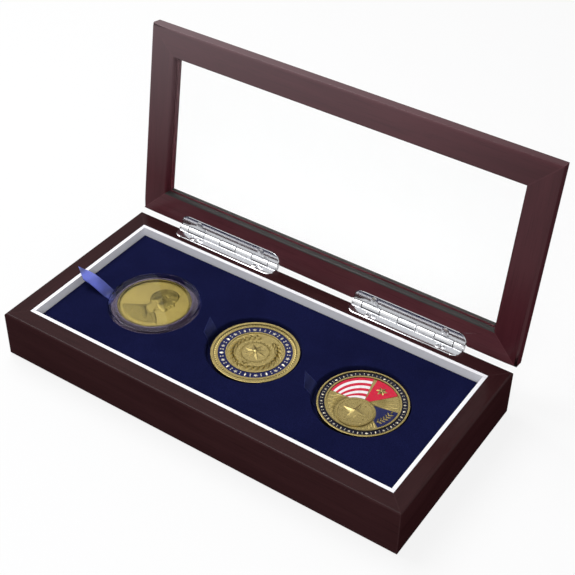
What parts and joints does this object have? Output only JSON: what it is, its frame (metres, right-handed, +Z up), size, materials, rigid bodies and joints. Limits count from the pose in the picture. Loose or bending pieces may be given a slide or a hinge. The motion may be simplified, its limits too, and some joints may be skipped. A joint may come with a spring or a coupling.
{
  "type": "coin display case",
  "caption": "Wooden case with a hinged glazed lid and a velvet tray whose round wells hold an encapsulated medal and bare coins on lifting ribbons.",
  "frame": {"origin": "on the surface the case rests on, below the middle of the base", "axes": "+X to the case's right along its length, +Y to the back where the hinges are, +Z up"},
  "size_m": [0.23, 0.1342, 0.1349],
  "materials": {
    "base_wood": "dark mahogany stain under satin lacquer",
    "lid_wood": "dark mahogany stain under satin lacquer",
    "panel_wood": "plain board, unfinished",
    "felt": "pressed black felt",
    "white_card": "smooth white lining strip",
    "tray_board": "stiff block of laid-up card, unseen",
    "foam": "firm dark foam, unseen",
    "velvet": "deep navy velvet with a short pile",
    "satin": "blue satin ribbon",
    "clear_plastic": "clear moulded acrylic",
    "medal_brass": "olive brass, struck, satin",
    "coin_brass": "olive brass, struck, polished rims",
    "blue_enamel": "navy enamel, glossy",
    "black_enamel": "blue-black enamel, glossy",
    "clear_glass": "clear float glass",
    "hinge_chrome": "bright plated steel",
    "pin_steel": "drawn steel wire",
    "screw_steel": "bright plated steel"
  },
  "bodies": {
    "base": {"base_rail_front": "base_wood", "base_rail_back": "base_wood", "base_rail_left": "base_wood", "base_rail_right": "base_wood", "bottom_panel": "panel_wood", "felt_base": "felt", "liner_front": "white_card", "liner_back": "white_card", "liner_left": "white_card", "liner_right": "white_card", "tray_block": "tray_board", "foam_insert": "foam", "velvet_cover": "velvet", "ribbon_left": "satin", "ribbon_middle": "satin", "ribbon_right": "satin", "hinge_left_base_leaf": "hinge_chrome", "hinge_left_pin": "pin_steel", "hinge_right_base_leaf": "hinge_chrome", "hinge_right_pin": "pin_steel", "screws_left_base": "screw_steel", "screws_right_base": "screw_steel"},
    "lid": {"lid_rail_front": "lid_wood", "lid_rail_back": "lid_wood", "lid_rail_left": "lid_wood", "lid_rail_right": "lid_wood", "glass_pane": "clear_glass", "hinge_left_lid_leaf": "hinge_chrome", "hinge_right_lid_leaf": "hinge_chrome", "screws_left_lid": "screw_steel", "screws_right_lid": "screw_steel"},
    "capsule": {"capsule_base": "clear_plastic", "medal": "medal_brass"},
    "capsule_lid": {"capsule_lid": "clear_plastic"},
    "coin_middle": {"coin_middle": "coin_brass", "coin_middle_enamel": "blue_enamel"},
    "coin_right": {"coin_right": "coin_brass", "coin_right_enamel": "black_enamel"}
  },
  "joints": [
    {"name": "lid_hinge", "type": "hinge", "parent": "base", "child": "lid", "pos_m": [0, 0.055, 0.0273], "axis": [1, 0, 0], "range_deg": [0, 99]},
    {"name": "capsule_lift", "type": "slide", "parent": "base", "child": "capsule", "axis": [0, 0, 1], "range_m": [0, 0.04]},
    {"name": "capsule_lid_lift", "type": "slide", "parent": "capsule", "child": "capsule_lid", "axis": [0, 0, 1], "range_m": [0, 0.025]},
    {"name": "coin_middle_lift", "type": "slide", "parent": "base", "child": "coin_middle", "axis": [0, 0, 1], "range_m": [0, 0.04]},
    {"name": "coin_right_lift", "type": "slide", "parent": "base", "child": "coin_right", "axis": [0, 0, 1], "range_m": [0, 0.04]}
  ]
}
